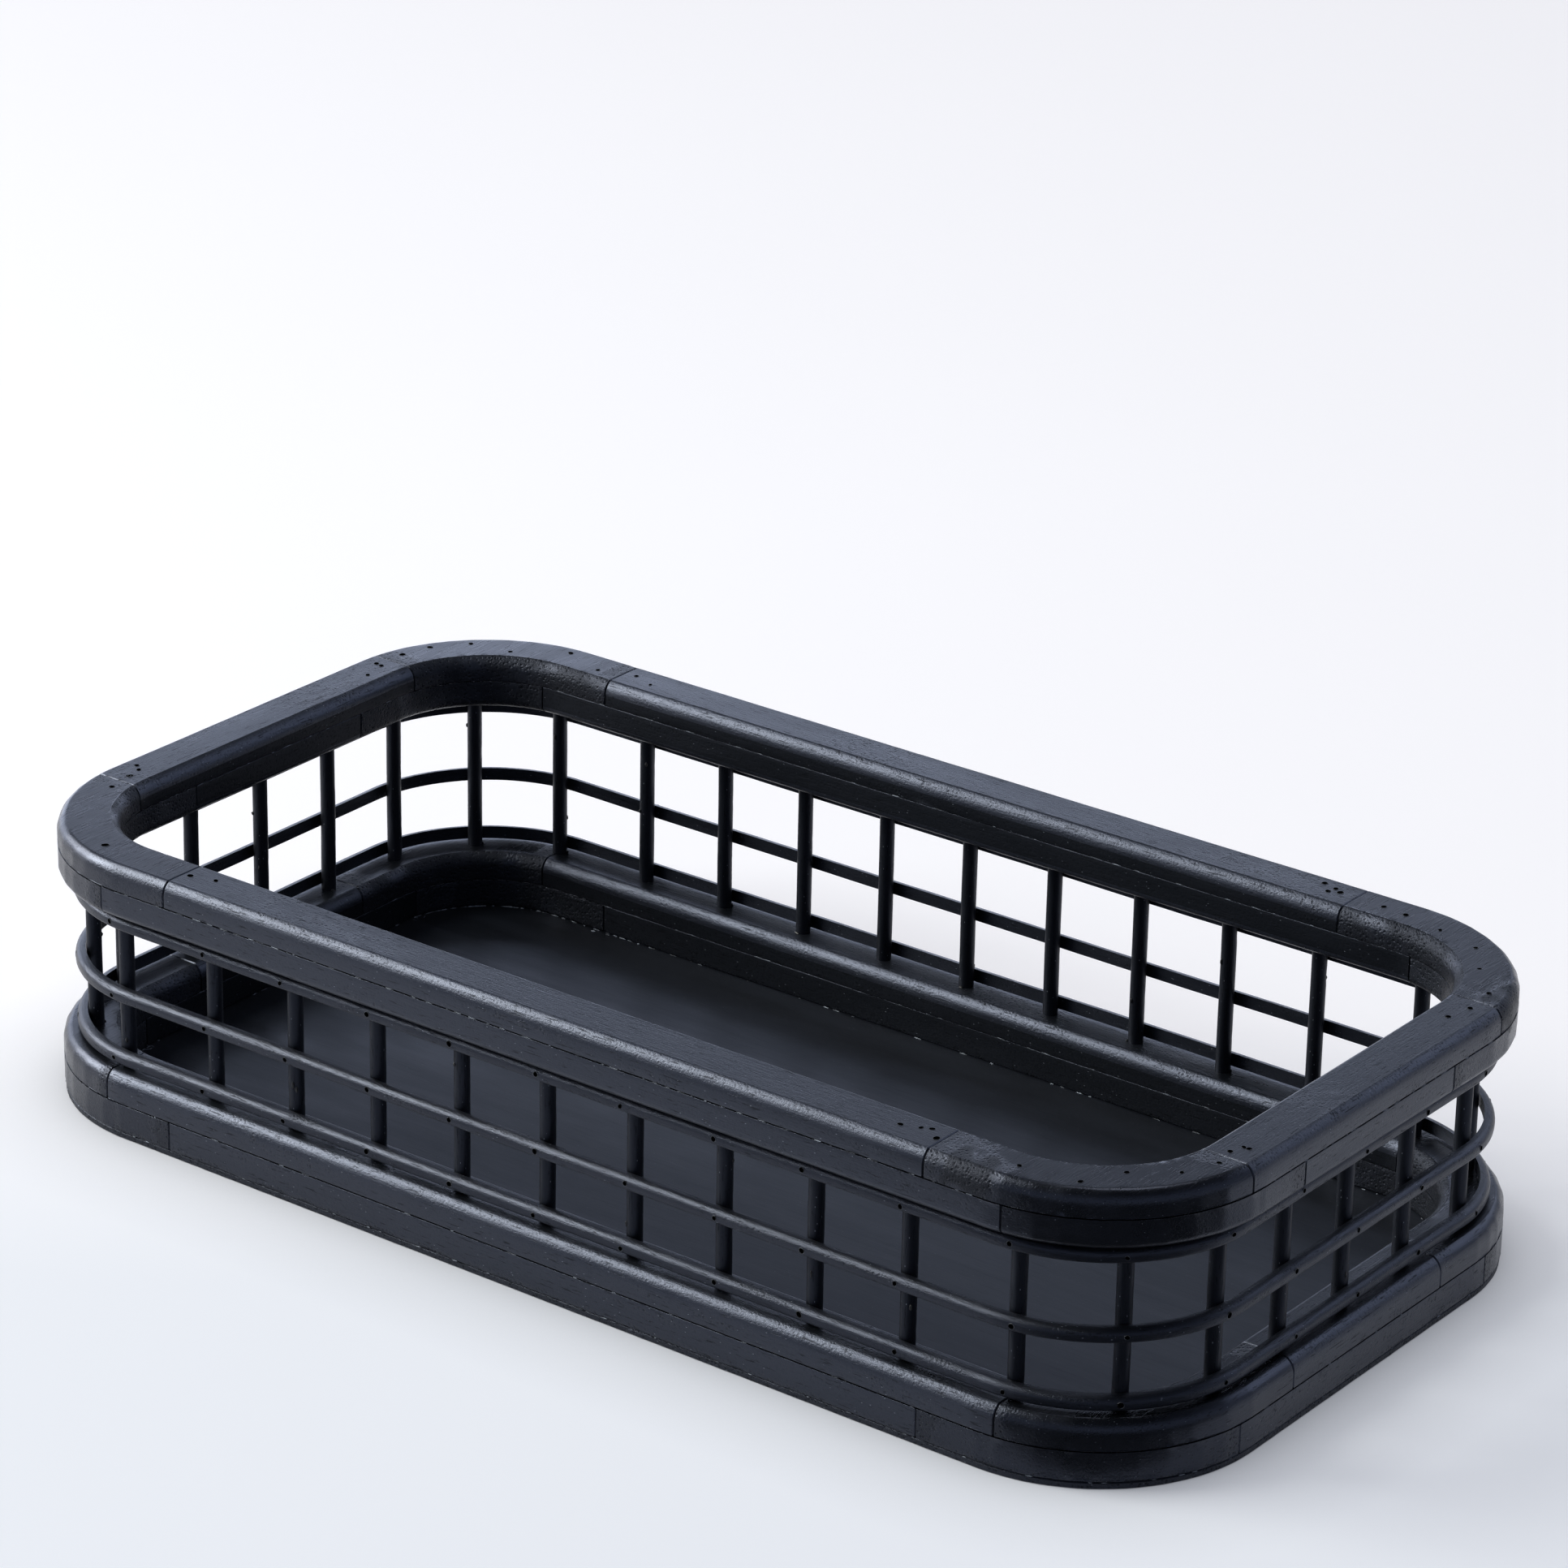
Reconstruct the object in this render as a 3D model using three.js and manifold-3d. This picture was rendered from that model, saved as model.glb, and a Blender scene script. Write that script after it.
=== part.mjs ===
// Open-sided tray in black-stained laminated bamboo.
// A thin base panel carries a bottom rim, a ring of dowels stands in it, and a top rim caps the dowels.
// Three half-round bands run round the outside of the dowels and are nailed to each of them.
// Each rim is two laminations: four rails and four corner blocks, lapped at their ends.
// Millimetres, +Z up, origin under the middle of the base panel, length along X, front at -Y.
import * as THREE from 'three';
import { mergeVertices } from 'three/addons/utils/BufferGeometryUtils.js';
import Module from 'manifold-3d';

const wasm = await Module();
wasm.setup();

// Overall plan
const TRAY_LENGTH = 600;
const TRAY_WIDTH = 318;
const CORNER_RADIUS = 77;

// Base panel
const BASE_THICKNESS = 3;
const BASE_INSET = 0.4;

// Rims
const RIM_WIDTH = 26.5;
const LAYER_HEIGHT = 13;
const TOP_LAYER_HEIGHT = 11.5;
const RIM_EDGE_ROUND = 7;
const RIM_FOOT_ROUND = 3.5;

// Lapped joints, measured along a side from where its corner arc starts
// In one layer a corner block's arm reaches back along the side, in the other the rail runs on into the arc
const CORNER_ARM = 28;
const RAIL_OVERRUN = 8;

// Dowels
const DOWEL_DIAMETER = 6.8;
const DOWEL_INSET = 14.5;
const DOWEL_FREE_HEIGHT = 72.8;
const SOCKET_DEPTH = 8;
const DOWEL_COUNT_FRONT = 11;
const DOWEL_COUNT_SIDE = 5;
const FRONT_END_EXTRA = 5.8;

// Bands
const BAND_HEIGHT = 6;
const BAND_DEPTH = 4.5;
const BAND_ROUND = 2.6;
const LOWER_BAND_CLEAR = 1.1;
const MIDDLE_BAND_RISE = 30.2;
const UPPER_BAND_CLEAR = 2.8;
const BAND_SEAM_SHIFT = -5;
const BAND_SEAM_GAP = 0.6;

// Clearances
const GLUE_GAP = 0.3;
const JOINT_GAP = 0.3;
const SOCKET_FIT = 0.3;
const BAND_FIT = 0.3;
const CUT_MARGIN = 20;

// Faceting of round stretches
const CORNER_STEPS = 5;
const EDGE_STEPS = 3;
const DOWEL_SIDES = 12;

// Levels worked out from the sizes above
const BOTTOM_RIM_FOOT = BASE_THICKNESS + GLUE_GAP;
const BOTTOM_RIM_SEAM = BOTTOM_RIM_FOOT + LAYER_HEIGHT;
const BOTTOM_RIM_TOP = BOTTOM_RIM_SEAM + LAYER_HEIGHT;
const TOP_RIM_FOOT = BOTTOM_RIM_TOP + DOWEL_FREE_HEIGHT;
const TOP_RIM_SEAM = TOP_RIM_FOOT + LAYER_HEIGHT;
const TOP_RIM_TOP = TOP_RIM_SEAM + TOP_LAYER_HEIGHT;
const HALF_LENGTH = TRAY_LENGTH / 2;
const HALF_WIDTH = TRAY_WIDTH / 2;
const ARC_X = HALF_LENGTH - CORNER_RADIUS;
const ARC_Y = HALF_WIDTH - CORNER_RADIUS;
const RING_RADIUS = CORNER_RADIUS - DOWEL_INSET;

const stained = new THREE.MeshStandardMaterial({ color: 0x2a2c31, roughness: 0.45, metalness: 0 });
const stainedPanel = new THREE.MeshStandardMaterial({ color: 0x25272c, roughness: 0.5, metalness: 0 });
const stainedStrip = new THREE.MeshStandardMaterial({ color: 0x282a2f, roughness: 0.42, metalness: 0 });

// Turns a closed three.js geometry into a solid that can be joined and cut
function toSolid(geometry) {
  const bare = geometry.clone();
  bare.deleteAttribute('normal');
  bare.deleteAttribute('uv');
  const welded = mergeVertices(bare, 1e-4);
  const vertProperties = new Float32Array(welded.attributes.position.array);
  const triVerts = new Uint32Array(welded.index.array);
  return new wasm.Manifold(new wasm.Mesh({ numProp: 3, vertProperties, triVerts }));
}

// Turns a solid back into a three.js geometry
function toGeometry(solid) {
  const mesh = solid.getMesh();
  const geometry = new THREE.BufferGeometry();
  geometry.setAttribute('position', new THREE.BufferAttribute(new Float32Array(mesh.vertProperties), 3));
  geometry.setIndex(new THREE.BufferAttribute(new Uint32Array(mesh.triVerts), 1));
  geometry.computeVertexNormals();
  return geometry;
}

// The tray's rounded rectangle, drawn in by an inset
function outline(inset) {
  const radius = CORNER_RADIUS - inset;
  const shape = new THREE.Shape();
  shape.moveTo(-ARC_X, -ARC_Y - radius);
  shape.lineTo(ARC_X, -ARC_Y - radius);
  shape.absarc(ARC_X, -ARC_Y, radius, -Math.PI / 2, 0, false);
  shape.lineTo(ARC_X + radius, ARC_Y);
  shape.absarc(ARC_X, ARC_Y, radius, 0, Math.PI / 2, false);
  shape.lineTo(-ARC_X, ARC_Y + radius);
  shape.absarc(-ARC_X, ARC_Y, radius, Math.PI / 2, Math.PI, false);
  shape.lineTo(-ARC_X - radius, -ARC_Y);
  shape.absarc(-ARC_X, -ARC_Y, radius, Math.PI, Math.PI * 1.5, false);
  return shape;
}

// A flat plate of the tray's outline between two levels
function plate(inset, low, high) {
  const settings = { depth: high - low, bevelEnabled: false, curveSegments: CORNER_STEPS };
  const geometry = new THREE.ExtrudeGeometry(outline(inset), settings);
  return geometry.translate(0, 0, low);
}

// A ring of the rim's width whose upper and lower edges are all rounded by one radius
function roundedRing(low, high, round) {
  const shape = outline(round);
  shape.holes.push(outline(RIM_WIDTH - round));
  const settings = {
    depth: high - low - 2 * round,
    bevelEnabled: true,
    bevelThickness: round,
    bevelSize: round,
    bevelSegments: EDGE_STEPS,
    curveSegments: CORNER_STEPS,
  };
  const geometry = new THREE.ExtrudeGeometry(shape, settings);
  return toSolid(geometry.translate(0, 0, low + round));
}

// A box between two corners
function block(lowX, highX, lowY, highY, lowZ, highZ) {
  const geometry = new THREE.BoxGeometry(highX - lowX, highY - lowY, highZ - lowZ);
  geometry.translate((lowX + highX) / 2, (lowY + highY) / 2, (lowZ + highZ) / 2);
  return toSolid(geometry);
}

// An upright round bar of a given radius between two levels
function upright(place, radius, low, high) {
  const geometry = new THREE.CylinderGeometry(radius, radius, high - low, DOWEL_SIDES);
  geometry.rotateX(Math.PI / 2);
  return geometry.translate(place.x, place.y, (low + high) / 2);
}

// Dowels of one side, as distances from its middle: the last one at each end pins the lapped joint there
function sideSteps(straightHalf, count, endExtra) {
  const endReach = straightHalf + RAIL_OVERRUN;
  const pitch = (2 * endReach - 2 * endExtra) / (count - 1);
  const middle = (count - 1) / 2;
  const steps = [];
  for (let i = 0; i < count; i++) {
    const fromMiddle = i - middle;
    const extra = Math.abs(fromMiddle) === middle ? Math.sign(fromMiddle) * endExtra : 0;
    steps.push(fromMiddle * pitch + extra);
  }
  return steps;
}

// How far out from the arc centres the dowel ring lies at a distance along a side
function ringReach(step, straightHalf) {
  const past = Math.max(Math.abs(step) - straightHalf, 0);
  return Math.sqrt(RING_RADIUS ** 2 - past ** 2);
}

// Every dowel's name and place
function dowelPlaces() {
  const places = [];
  const longSteps = sideSteps(ARC_X, DOWEL_COUNT_FRONT, FRONT_END_EXTRA);
  const shortSteps = sideSteps(ARC_Y, DOWEL_COUNT_SIDE, 0);
  for (const [side, sign] of [['front', -1], ['back', 1]]) {
    longSteps.forEach((step, i) => {
      const name = `dowel_${side}_${String(i + 1).padStart(2, '0')}`;
      places.push({ name, x: step, y: sign * (ARC_Y + ringReach(step, ARC_X)) });
    });
  }
  for (const [side, sign] of [['left', -1], ['right', 1]]) {
    shortSteps.forEach((step, i) => {
      places.push({ name: `dowel_${side}_${i + 1}`, x: sign * (ARC_X + ringReach(step, ARC_Y)), y: step });
    });
  }
  const diagonal = RING_RADIUS * Math.SQRT1_2;
  for (const [row, signY] of [['front', -1], ['back', 1]]) {
    for (const [side, signX] of [['left', -1], ['right', 1]]) {
      const name = `dowel_corner_${row}_${side}`;
      places.push({ name, x: signX * (ARC_X + diagonal), y: signY * (ARC_Y + diagonal) });
    }
  }
  return places;
}

// Cutters of one rim's rails, grown by a gap
// Where a long rail runs on, a short rail stops back, and the other way round
function railCutters(rim, grow) {
  const foot = rim.foot - CUT_MARGIN;
  const top = rim.top + CUT_MARGIN;
  const farX = HALF_LENGTH + CUT_MARGIN;
  const farY = HALF_WIDTH + CUT_MARGIN;
  const stepped = (straightHalf, runsOnBelow, make) => {
    const runOn = straightHalf + RAIL_OVERRUN + grow;
    const stopBack = straightHalf - CORNER_ARM + grow;
    const lowHalf = runsOnBelow ? runOn : stopBack;
    const highHalf = runsOnBelow ? stopBack : runOn;
    const low = make(lowHalf, foot, rim.seam + grow);
    const high = make(highHalf, rim.seam - grow, top);
    return low.add(high);
  };
  const alongX = (nearY, edgeY) => (half, low, high) => block(-half, half, nearY, edgeY, low, high);
  const alongY = (nearX, edgeX) => (half, low, high) => block(nearX, edgeX, -half, half, low, high);
  return {
    front: stepped(ARC_X, rim.longRailsRunOnBelow, alongX(-farY, -ARC_Y)),
    back: stepped(ARC_X, rim.longRailsRunOnBelow, alongX(ARC_Y, farY)),
    left: stepped(ARC_Y, !rim.longRailsRunOnBelow, alongY(-farX, -ARC_X)),
    right: stepped(ARC_Y, !rim.longRailsRunOnBelow, alongY(ARC_X, farX)),
  };
}

// Splits one rim's ring into its rails and corner blocks
function rimPieces(rim, ring) {
  const pieces = [];
  const rails = railCutters(rim, 0);
  for (const [side, cutter] of Object.entries(rails)) {
    pieces.push({ name: `${rim.name}_rail_${side}`, solid: ring.intersect(cutter) });
  }
  const grown = railCutters(rim, JOINT_GAP);
  const farX = HALF_LENGTH + CUT_MARGIN;
  const farY = HALF_WIDTH + CUT_MARGIN;
  for (const [row, signY] of [['front', -1], ['back', 1]]) {
    for (const [side, signX] of [['left', -1], ['right', 1]]) {
      const [lowX, highX] = signX < 0 ? [-farX, 0] : [0, farX];
      const [lowY, highY] = signY < 0 ? [-farY, 0] : [0, farY];
      const quarter = block(lowX, highX, lowY, highY, rim.foot - CUT_MARGIN, rim.top + CUT_MARGIN);
      const solid = ring.intersect(quarter).subtract(grown[row]).subtract(grown[side]);
      pieces.push({ name: `${rim.name}_corner_${row}_${side}`, solid });
    }
  }
  return pieces;
}

// A socket for each dowel to stand in
function sockets(places, low, high) {
  const radius = DOWEL_DIAMETER / 2 + SOCKET_FIT;
  return places.map((place) => toSolid(upright(place, radius, low, high)));
}

// A half-round strip round the outside of the dowels, open at its butt seam on the left side
function band(foot) {
  const innerInset = DOWEL_INSET - DOWEL_DIAMETER / 2 - BAND_FIT;
  const outerInset = innerInset - BAND_DEPTH;
  const settings = {
    depth: BAND_HEIGHT - 2 * BAND_ROUND,
    bevelEnabled: true,
    bevelThickness: BAND_ROUND,
    bevelSize: BAND_ROUND,
    bevelSegments: EDGE_STEPS,
    curveSegments: CORNER_STEPS,
  };
  const geometry = new THREE.ExtrudeGeometry(outline(outerInset + BAND_ROUND), settings);
  const disc = toSolid(geometry.translate(0, 0, foot + BAND_ROUND));
  const core = toSolid(plate(innerInset, foot - CUT_MARGIN, foot + BAND_HEIGHT + CUT_MARGIN));
  const seamLow = BAND_SEAM_SHIFT - BAND_SEAM_GAP / 2;
  const seamHigh = BAND_SEAM_SHIFT + BAND_SEAM_GAP / 2;
  const farX = HALF_LENGTH + CUT_MARGIN;
  const seam = block(-farX, -ARC_X, seamLow, seamHigh, foot - CUT_MARGIN, foot + BAND_HEIGHT + CUT_MARGIN);
  return disc.subtract(core).subtract(seam);
}

const tray = new THREE.Group();

function addPiece(name, geometry, material) {
  const mesh = new THREE.Mesh(geometry, material);
  mesh.name = name;
  tray.add(mesh);
}

// Base panel
addPiece('base_panel', plate(BASE_INSET, 0, BASE_THICKNESS), stainedPanel);

// Bottom rim: square at its foot on the panel, rounded at its upper edges
const dowels = dowelPlaces();
const bottomRim = {
  name: 'bottom',
  foot: BOTTOM_RIM_FOOT,
  seam: BOTTOM_RIM_SEAM,
  top: BOTTOM_RIM_TOP,
  longRailsRunOnBelow: false,
};
const bottomBlank = roundedRing(BOTTOM_RIM_FOOT - CUT_MARGIN, BOTTOM_RIM_TOP, RIM_EDGE_ROUND);
const bottomKeep = toSolid(plate(-CUT_MARGIN, BOTTOM_RIM_FOOT, BOTTOM_RIM_TOP + CUT_MARGIN));
let bottomRing = bottomBlank.intersect(bottomKeep);
for (const socket of sockets(dowels, BOTTOM_RIM_TOP - SOCKET_DEPTH, BOTTOM_RIM_TOP + CUT_MARGIN)) {
  bottomRing = bottomRing.subtract(socket);
}

// Top rim: well rounded above, lightly rounded below
const topRim = {
  name: 'top',
  foot: TOP_RIM_FOOT,
  seam: TOP_RIM_SEAM,
  top: TOP_RIM_TOP,
  longRailsRunOnBelow: true,
};
const topBlank = roundedRing(TOP_RIM_FOOT - CUT_MARGIN, TOP_RIM_TOP, RIM_EDGE_ROUND);
const topKeep = roundedRing(TOP_RIM_FOOT, TOP_RIM_TOP + CUT_MARGIN, RIM_FOOT_ROUND);
let topRing = topBlank.intersect(topKeep);
for (const socket of sockets(dowels, TOP_RIM_FOOT - CUT_MARGIN, TOP_RIM_FOOT + SOCKET_DEPTH)) {
  topRing = topRing.subtract(socket);
}

for (const piece of [...rimPieces(bottomRim, bottomRing), ...rimPieces(topRim, topRing)]) {
  addPiece(piece.name, toGeometry(piece.solid), stained);
}

// Dowels, each standing in a socket of both rims
const dowelFoot = BOTTOM_RIM_TOP - SOCKET_DEPTH + SOCKET_FIT;
const dowelHead = TOP_RIM_FOOT + SOCKET_DEPTH - SOCKET_FIT;
for (const place of dowels) {
  addPiece(place.name, upright(place, DOWEL_DIAMETER / 2, dowelFoot, dowelHead), stained);
}

// Bands
const bandFeet = {
  band_lower: BOTTOM_RIM_TOP + LOWER_BAND_CLEAR,
  band_middle: BOTTOM_RIM_TOP + MIDDLE_BAND_RISE,
  band_upper: TOP_RIM_FOOT - UPPER_BAND_CLEAR - BAND_HEIGHT,
};
for (const [name, foot] of Object.entries(bandFeet)) {
  addPiece(name, toGeometry(band(foot)), stainedStrip);
}

export default tray;
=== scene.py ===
import math
import random

import bpy
from mathutils import Matrix, Vector, noise


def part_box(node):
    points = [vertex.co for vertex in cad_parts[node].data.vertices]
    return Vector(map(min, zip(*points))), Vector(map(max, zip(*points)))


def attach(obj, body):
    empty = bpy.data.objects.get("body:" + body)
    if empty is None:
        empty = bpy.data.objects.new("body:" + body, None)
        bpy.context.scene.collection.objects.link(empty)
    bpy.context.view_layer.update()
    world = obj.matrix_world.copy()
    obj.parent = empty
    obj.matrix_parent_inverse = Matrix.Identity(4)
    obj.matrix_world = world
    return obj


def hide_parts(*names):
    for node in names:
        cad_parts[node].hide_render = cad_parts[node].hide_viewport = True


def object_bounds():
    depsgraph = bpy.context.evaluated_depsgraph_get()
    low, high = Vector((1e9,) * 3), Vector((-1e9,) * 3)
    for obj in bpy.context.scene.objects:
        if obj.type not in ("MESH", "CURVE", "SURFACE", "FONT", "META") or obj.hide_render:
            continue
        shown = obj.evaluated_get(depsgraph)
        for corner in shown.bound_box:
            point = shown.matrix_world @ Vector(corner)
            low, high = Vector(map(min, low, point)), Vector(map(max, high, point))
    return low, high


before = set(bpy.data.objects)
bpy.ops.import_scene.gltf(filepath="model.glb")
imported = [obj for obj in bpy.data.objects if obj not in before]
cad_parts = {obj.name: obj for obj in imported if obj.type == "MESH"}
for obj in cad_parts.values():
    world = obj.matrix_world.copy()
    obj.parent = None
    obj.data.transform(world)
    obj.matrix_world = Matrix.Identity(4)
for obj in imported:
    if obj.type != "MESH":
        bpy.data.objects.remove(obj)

# An open-sided tray in black-stained laminated bamboo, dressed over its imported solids.
# Shapes are worked out in millimetres and written to the meshes in metres.
MM = 0.001
solid_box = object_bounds()


def box_mm(node_name):
    low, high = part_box(node_name)
    return low / MM, high / MM


# Places read from the frame
HALF_LENGTH = solid_box[1].x / MM
HALF_WIDTH = solid_box[1].y / MM
TOP_RAIL_LOW, TOP_RAIL_HIGH = box_mm("top_rail_front")
BOTTOM_RAIL_LOW, BOTTOM_RAIL_HIGH = box_mm("bottom_rail_front")
BLOCK_LOW = box_mm("top_corner_front_right")[0]
PANEL_HIGH = box_mm("base_panel")[1]
BAND_HIGH = box_mm("band_lower")[1]
DOWELS = sorted(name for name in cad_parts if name.startswith("dowel_"))
BANDS = ("band_lower", "band_middle", "band_upper")

# Sizes that the boxes don't give
CORNER_RADIUS = 77.0
LAYER_HEIGHT = 13.0
RIM_EDGE_ROUND = 7.0
RIM_FOOT_ROUND = 3.5
JOINT_GAP = 0.3
SEAM_GAP = 0.4
SEAM_CLOSING = 0.16
SEAM_EDGE = 0.22
END_EDGE = 0.4
ARRIS_ANGLE = math.radians(25)
ARRIS_EASE = 0.35
SQUARE_EDGE = 0.5
BAND_DEPTH = 4.5
BAND_ROUND = 3.4
BAND_SLOPE = 4.0
BAND_FOOT_ROUND = 1.2
BAND_SEAM = -5.0
BAND_SEAM_GAP = 0.2

# How finely the meshes are cut, and how torn a sawn end is
SHARP_ANGLE = math.radians(38)
SECTION_STEP = 2.2
ROUND_STEPS = 7
EDGE_STEPS = 3
BAND_BACK_STEP = 1.2
BAND_FACE_STEP = 1.0
BAND_CURVE_STEPS = 9
END_TORN = 0.6

# Working values
RIM_WIDTH = TOP_RAIL_HIGH.y - TOP_RAIL_LOW.y
PANEL_INSET = HALF_LENGTH - PANEL_HIGH.x
BAND_OUTER = HALF_LENGTH - BAND_HIGH.x
BAND_INNER = BAND_OUTER + BAND_DEPTH
ARC_X = HALF_LENGTH - CORNER_RADIUS
ARC_Y = HALF_WIDTH - CORNER_RADIUS
RUN_ON = TOP_RAIL_HIGH.x - ARC_X
CORNER_ARM = ARC_X - (BLOCK_LOW.x - JOINT_GAP)
QUARTER = CORNER_RADIUS * math.pi / 2
ROUND_COURSE = 4 * (ARC_X + ARC_Y + QUARTER)
X_WAY, Y_WAY, Z_WAY = Vector((1, 0, 0)), Vector((0, 1, 0)), Vector((0, 0, 1))

# The course runs round the outside from the middle of the front towards the right.
# It counts millimetres on the straights, and millimetres along the outer arc on the corners.
SIDE_MIDDLE = {
    "front": 0.0,
    "right": ARC_X + QUARTER + ARC_Y,
    "back": 2 * (ARC_X + QUARTER + ARC_Y),
    "left": 3 * (ARC_X + QUARTER + ARC_Y),
}
SIDE_HALF = {"front": ARC_X, "right": ARC_Y, "back": ARC_X, "left": ARC_Y}
SIDE_GRAIN = {"front": X_WAY, "right": Y_WAY, "back": X_WAY, "left": Y_WAY}
CORNERS = {
    "front_right": ("front", "right"),
    "back_right": ("right", "back"),
    "back_left": ("back", "left"),
    "front_left": ("left", "front"),
}


# The point at a course and an inset from the outside, and the way that the side faces there
def course_place(course, inset):
    left_over = (course + ARC_X) % ROUND_COURSE
    reach = CORNER_RADIUS - inset
    out, arc = Vector((0, -1)), Vector((-ARC_X, -ARC_Y))
    for straight in (2 * ARC_X, 2 * ARC_Y, 2 * ARC_X, 2 * ARC_Y):
        along = Vector((-out.y, out.x))
        if left_over <= straight:
            return arc + out * reach + along * left_over, out
        left_over -= straight
        arc = arc + along * straight
        if left_over <= QUARTER:
            turn = left_over / CORNER_RADIUS
            out = out * math.cos(turn) + along * math.sin(turn)
            return arc + out * reach, out
        left_over -= QUARTER
        out = along
    return arc + out * reach, out


# The course of a square cut that lies past the start of an arc, for one inset
def arc_cut(past, inset):
    return CORNER_RADIUS * math.asin(past / (CORNER_RADIUS - inset))


# The course nearest to a point of the plan
def course_of(x, y):
    def away(course):
        return (course_place(course, 0)[0] - Vector((x, y))).length

    near = min(range(round(ROUND_COURSE)), key=away)
    return min((near + step / 10 for step in range(-10, 11)), key=away)


def smooth_step(low, high, value):
    t = min(max((value - low) / (high - low), 0.0), 1.0)
    return t * t * (3 - 2 * t)


# Makes a mesh whose points carry the grain's coordinates and how torn the surface is
def make_piece(name, points, faces, grains=None, torns=None):
    mesh = bpy.data.meshes.new(name)
    mesh.from_pydata([tuple(p * MM) for p in points], [], [tuple(f) for f in faces])
    mesh.polygons.foreach_set("use_smooth", [True] * len(mesh.polygons))
    mesh.set_sharp_from_angle(angle=SHARP_ANGLE)
    if grains:
        grain = mesh.attributes.new("grain", "FLOAT_VECTOR", "POINT")
        grain.data.foreach_set("vector", [value for place in grains for value in place])
        torn = mesh.attributes.new("torn", "FLOAT", "POINT")
        torn.data.foreach_set("value", torns)
    mesh.update()
    piece = bpy.data.objects.new(name, mesh)
    bpy.context.scene.collection.objects.link(piece)
    return piece


def finish_piece(piece, materials, slot, *nodes):
    for material in materials:
        piece.data.materials.append(material)
    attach(piece, "root")
    if nodes:
        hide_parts(*nodes)


# Faces that join closed rings of one size, in the order of their points
def ring_faces(count, size, start=0):
    faces = []
    for i in range(count - 1):
        row, over = start + i * size, start + (i + 1) * size
        faces += [(row + j, row + (j + 1) % size, over + (j + 1) % size, over + j) for j in range(size)]
    return faces


# A closed bar through rings of (place, grain, torn) points
def bar_piece(name, rings):
    size = len(rings[0])
    vertices = [vertex for ring in rings for vertex in ring]
    points, grains, torns = (list(column) for column in zip(*vertices))
    faces = ring_faces(len(rings), size)
    for first, forward in ((0, False), ((len(rings) - 1) * size, True)):
        middle = len(points)
        points.append(sum(points[first:first + size], Vector()) / size)
        grains.append(sum(grains[first:first + size], Vector()) / size)
        torns.append(END_TORN)
        for j in range(size):
            pair = (first + j, first + (j + 1) % size)
            faces.append((middle, *(pair if forward else reversed(pair))))
    return make_piece(name, points, faces, grains, torns)


# Outline parts of a section, as (inset, height) points
def run(start, end, spacing=SECTION_STEP):
    start, end = Vector(start), Vector(end)
    steps = max(1, round((end - start).length / spacing))
    return [start.lerp(end, i / steps) for i in range(steps)]


def rounding(centre, radius, from_angle, sweep=90.0):
    steps = EDGE_STEPS if radius < 1 else ROUND_STEPS
    turns = [math.radians(from_angle - sweep * i / steps) for i in range(steps)]
    return [Vector(centre) + Vector((math.cos(t), math.sin(t))) * radius for t in turns]


# The ways that the points of a closed section face
def section_normals(section):
    spans = [section[(i + 1) % len(section)] - section[i - 1] for i in range(len(section))]
    return [Vector((-span.y, span.x)).normalized() for span in spans]


# One lamination of a rim, from the middle of its foot round by the outside. Its foot and head may lean
# towards the other lamination, so that the seam is tighter inside the tray than outside. The head is sanded
# flat after it is rounded, so an arris is left where its roundings stop short of the flat.
def layer_section(foot, head, foot_round, head_round, foot_lean=0.0, head_lean=0.0, arris=0.0):
    far, inner_foot, inner_head = RIM_WIDTH, foot - foot_lean, head + head_lean
    middle = Vector((far / 2, (foot + inner_foot) / 2))
    drop, flat = head_round * math.cos(arris), head_round * (1 - math.sin(arris))
    sweep, eased = 90 - math.degrees(arris), flat + ARRIS_EASE
    points = run(middle, (foot_round, foot))
    points += rounding((foot_round, foot + foot_round), foot_round, 270)
    points += run((0, foot + foot_round), (0, head - drop))
    points += rounding((head_round, head - drop), head_round, 180, sweep)
    points += run((flat, head), (eased, head))
    points += run((eased, head), (far - eased, inner_head))
    points += run((far - eased, inner_head), (far - flat, inner_head))
    points += rounding((far - head_round, inner_head - drop), head_round, sweep, sweep)
    points += run((far, inner_head - drop), (far, inner_foot + foot_round))
    points += rounding((far - foot_round, inner_foot + foot_round), foot_round, 0)
    points += run((far - foot_round, inner_foot), middle)
    return points


# A band's section: a full curve above, a flat face and a small round at the foot
def band_section(foot, head):
    middle, bend = (foot + head) / 2, BAND_OUTER + BAND_SLOPE
    turns = [math.radians(90 * i / BAND_CURVE_STEPS) for i in range(BAND_CURVE_STEPS + 1)]
    points = run((BAND_INNER, middle), (BAND_INNER, foot), BAND_BACK_STEP)
    points += run((BAND_INNER, foot), (BAND_OUTER + BAND_FOOT_ROUND, foot), BAND_FACE_STEP)
    points += rounding((BAND_OUTER + BAND_FOOT_ROUND, foot + BAND_FOOT_ROUND), BAND_FOOT_ROUND, 270)
    points += run((BAND_OUTER, foot + BAND_FOOT_ROUND), (BAND_OUTER, head - BAND_ROUND), BAND_FACE_STEP)
    for turn in turns:
        rise = BAND_ROUND * (1 - math.sin(turn))
        points.append(Vector((bend - BAND_SLOPE * math.cos(turn), head - rise)))
    points += run((BAND_INNER, head), (BAND_INNER, middle), BAND_BACK_STEP)
    return points


# Colours are written as sRGB hex and used as linear values
def linear(hex_colour):
    channels = [int(hex_colour[i:i + 2], 16) / 255 for i in (1, 3, 5)]
    return (*[c / 12.92 if c <= 0.04045 else ((c + 0.055) / 1.055) ** 2.4 for c in channels], 1.0)


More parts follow.
